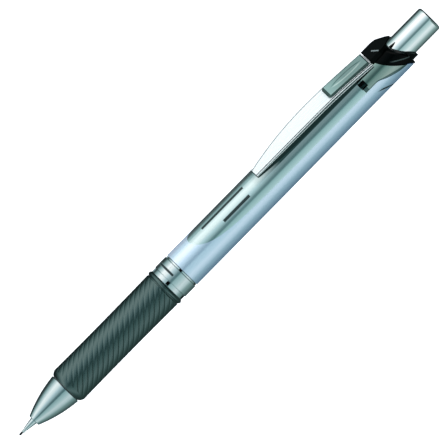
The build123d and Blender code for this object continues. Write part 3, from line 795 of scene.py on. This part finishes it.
def joint_band():
    """The chrome band behind the grip, stepped at both ends, with small slots in the steps."""
    turns = steps(0, 360, 360)[:-1]
    loops = []
    for number, (station, radius) in enumerate(BAND_PROFILE):
        depth = SLOT_DEPTH if number in SLOT_ROWS or number - 1 in SLOT_ROWS else 0.0
        loops.append([place(station, radius - depth * in_slot(turn), turn) for turn in turns])
    piece = skin(
        "joint_band",
        loops,
        [LOOKS["joint_ring"], LOOKS["crown"]],
        second=lambda row, column: row in SLOT_ROWS and in_slot(turns[column]),
    )
    stand_for(piece, "joint_ring", "barrel")


CLIP_TIP = 86.75
CLIP_CROWN = 107.0
CLIP_ROOT = 126.5
CLIP_TOP = [(CLIP_TIP, 5.74), (CLIP_CROWN, 7.2), (CLIP_ROOT, 5.78)]  # (station, height)
CLIP_SKIRT = [(CLIP_TIP, 5.24), (CLIP_CROWN, 6.25), (127.0, 4.84)]
CLIP_HALF_WIDTH = 2.9
CLIP_TAPER = 1.47  # how much narrower each side is at the tip
CLIP_CORNER = 0.35
CLIP_SHEET = 0.5
TAB_REAR = 130.2
TAB_HALF_WIDTH = 1.6
BEAD = 0.15  # radius of the round beads along the clip's edges
FLUTE_INNER = 0.49  # the flute beside the upper bead starts this far in from the clip's side,
FLUTE_FLOOR = 0.45  # its floor starts here,
FLUTE_OUTER = 0.3  # ends here,
FLUTE_DEPTH = 0.12  # and lies this deep
WALL_INSET = 0.14  # how far the side wall stands in from the beads
WALL_TOP = 0.26
WALL_FOOT = 0.32
LIP_WIDTH = 0.4
LEAST_SKIRT = 0.12  # the channel under the sheet is at least this deep
TIP_ROWS = 3  # this many rows of faces at the tip carry painted shade
CLIP_ROWS = 90


def clip_top(station):
    """The height of the clip's top."""
    return bow(*CLIP_TOP, min(station, CLIP_ROOT))


def clip_skirt(station):
    """The height of its turned-down sides' lower edges."""
    return bow(*CLIP_SKIRT, min(station, CLIP_ROOT))


def clip_half_width(station):
    """Half the clip's width: parallel sides that bow in to a narrow tip with rounded corners."""
    to_tip = max(0.0, CLIP_CROWN - station) / (CLIP_CROWN - CLIP_TIP)
    return CLIP_HALF_WIDTH - CLIP_TAPER * to_tip**2 - rounding(station - CLIP_TIP, CLIP_CORNER)


def bead(side, height, start, end):
    """A round bead about a centre, from one angle above the horizontal down to another."""
    angles = [radians(angle) for angle in steps(start, end, 6)]
    return [(side + BEAD * cos(angle), height + BEAD * sin(angle), False) for angle in angles]


def clip_half_section(station):
    """Half the clip's outline across, from the middle of its top to the middle of its underside.

    Each point is (distance sideways, height, whether a face painted dark, as shade, starts there).
    The bare numbers ease the corners between its walls.
    """
    top = clip_top(station)
    low = clip_skirt(station)
    side = clip_half_width(station)
    sheet = min(CLIP_SHEET, top - low - LEAST_SKIRT)
    return [
        (0.0, top, False),
        ((side - FLUTE_INNER) / 2, top, False),
        (side - FLUTE_INNER, top, True),
        (side - FLUTE_FLOOR, top - FLUTE_DEPTH, True),
        (side - FLUTE_OUTER, top - FLUTE_DEPTH, True),
        *bead(side - BEAD, top - BEAD, 150, -10),
        (side - 0.02, top - WALL_TOP + 0.04, True),
        (side - WALL_INSET, top - WALL_TOP, True),
        (side - WALL_INSET, low + WALL_FOOT, True),
        *bead(side - BEAD, low + BEAD, 70, -20),
        (side - 0.05, low + 0.04, True),
        (side - BEAD, low, True),
        (side - LIP_WIDTH, low, True),
        (side - sheet, low + 0.05, True),
        (side - sheet, top - sheet - 0.02, True),
        (side - sheet - 0.1, top - sheet, True),
        (0.0, top - sheet, True),
    ]


def sheet_clip():
    """The clip: an arched channel of sheet, with beads along its edges and a tab into the crown."""
    stations = steps(CLIP_TIP, CLIP_TIP + CLIP_CORNER, 5)
    stations += steps(CLIP_TIP + 0.8, CLIP_ROOT, CLIP_ROWS)
    half = clip_half_section(CLIP_CROWN)
    dark = [point[2] for point in half[:-1]] + [point[2] for point in half[-2::-1]]
    loops = []
    for station in stations:
        half = clip_half_section(station)
        section = half + [(-side, height, mark) for side, height, mark in half[-2:0:-1]]
        loops.append([spot(station, side, height) for side, height, _ in section])
    for station in (CLIP_ROOT, TAB_REAR):
        floor = clip_top(station) - CLIP_SHEET
        loops.append([
            spot(station, max(-TAB_HALF_WIDTH, min(TAB_HALF_WIDTH, side)), max(height, floor))
            for side, height, _ in section
        ])
    piece = skin(
        "sheet_clip",
        loops,
        [LOOKS["clip"], LOOKS["clip_shade"]],
        closed=False,
        # the tip rows and the dark faces take the painted shade
        second=lambda row, column: row < TIP_ROWS or dark[column],
    )
    stand_for(piece, "clip", "clip")


INLAY_FRONT = 113.15
INLAY_REAR = 126.25
INLAY_TOP = [(INLAY_FRONT, 7.72), (CLIP_ROOT, 6.65)]  # (station, height)
INLAY_HALF_WIDTH = 2.2
INLAY_CORNER = 0.9
INLAY_EDGE = 0.42  # radius of the rounded edge round its top
INLAY_END_SHARES = (0.0, 0.02, 0.06, 0.13, 0.25, 0.4, 0.6, 0.8, 1.0)  # of that radius, to each row
INLAY_SIDE_SHARES = [1, 0.995, 0.98, 0.95, 0.91, 0.87, 0.83, 0.8]  # of the half width, to a column
INLAY_MIDDLE_SHARE = 0.78
INLAY_ROWS = 110  # between the ends
INLAY_COLUMNS = 52  # between the sides
INLAY_SINK = 0.02  # how far it is let into the clip
DARK_ROWS = 12  # this many rows of faces at the inlay's front have the dark edge's finish
DARK_COLUMNS = 6  # and this many columns along each side
LENS_MIDDLE = 120.3
LENS_HALF_LENGTH = 4.4
LENS_HALF_WIDTH = 0.66
LENS_RISE = 0.07
LENS_SLOPE = 0.4  # width of its sloping edge, as a share of the lens's half size


def inlay_half_width(station):
    """Half the inlay's width, with its front corners rounded."""
    return INLAY_HALF_WIDTH - rounding(station - INLAY_FRONT, INLAY_CORNER)


def inlay_top(station, sideways):
    """The height of the inlay's top: a slope with rounded edges and a low lens-shaped island."""
    from_side = inlay_half_width(station) - abs(sideways)
    from_edge = min(from_side, station - INLAY_FRONT, INLAY_REAR - station)
    from_middle = hypot((station - LENS_MIDDLE) / LENS_HALF_LENGTH, sideways / LENS_HALF_WIDTH)
    island = min(1.0, max(0.0, (1 + LENS_SLOPE / 2 - from_middle) / LENS_SLOPE))
    lens = LENS_RISE * island * island * (3 - 2 * island)
    return polyline(INLAY_TOP, station) + lens - rounding(from_edge, INLAY_EDGE)


def smoked_inlay():
    """The raised inlay near the clip's root."""
    ends = [INLAY_EDGE * share for share in INLAY_END_SHARES]
    stations = [INLAY_FRONT + end for end in ends]
    stations += steps(INLAY_FRONT + 0.5, INLAY_REAR - 0.5, INLAY_ROWS)
    stations += [INLAY_REAR - end for end in reversed(ends)]
    shares = [-share for share in INLAY_SIDE_SHARES]
    shares += steps(-INLAY_MIDDLE_SHARE, INLAY_MIDDLE_SHARE, INLAY_COLUMNS)
    shares += reversed(INLAY_SIDE_SHARES)
    last_light = len(shares) - 2 - DARK_COLUMNS
    loops = []
    for station in stations:
        half_width = inlay_half_width(station)
        base = clip_top(station) - INLAY_SINK
        sides = [share * half_width for share in shares]
        top = [spot(station, side, inlay_top(station, side)) for side in sides]
        loops.append(top + [spot(station, half_width, base), spot(station, -half_width, base)])
    piece = skin(
        "smoked_inlay",
        loops,
        [LOOKS["clip_inlay"], LOOKS["inlay_edge"]],
        closed=False,
        second=lambda row, column: row < DARK_ROWS or not DARK_COLUMNS <= column <= last_light,
    )
    stand_for(piece, "clip_inlay", "clip")


grip()
joint_band()
sheet_clip()
smoked_inlay()
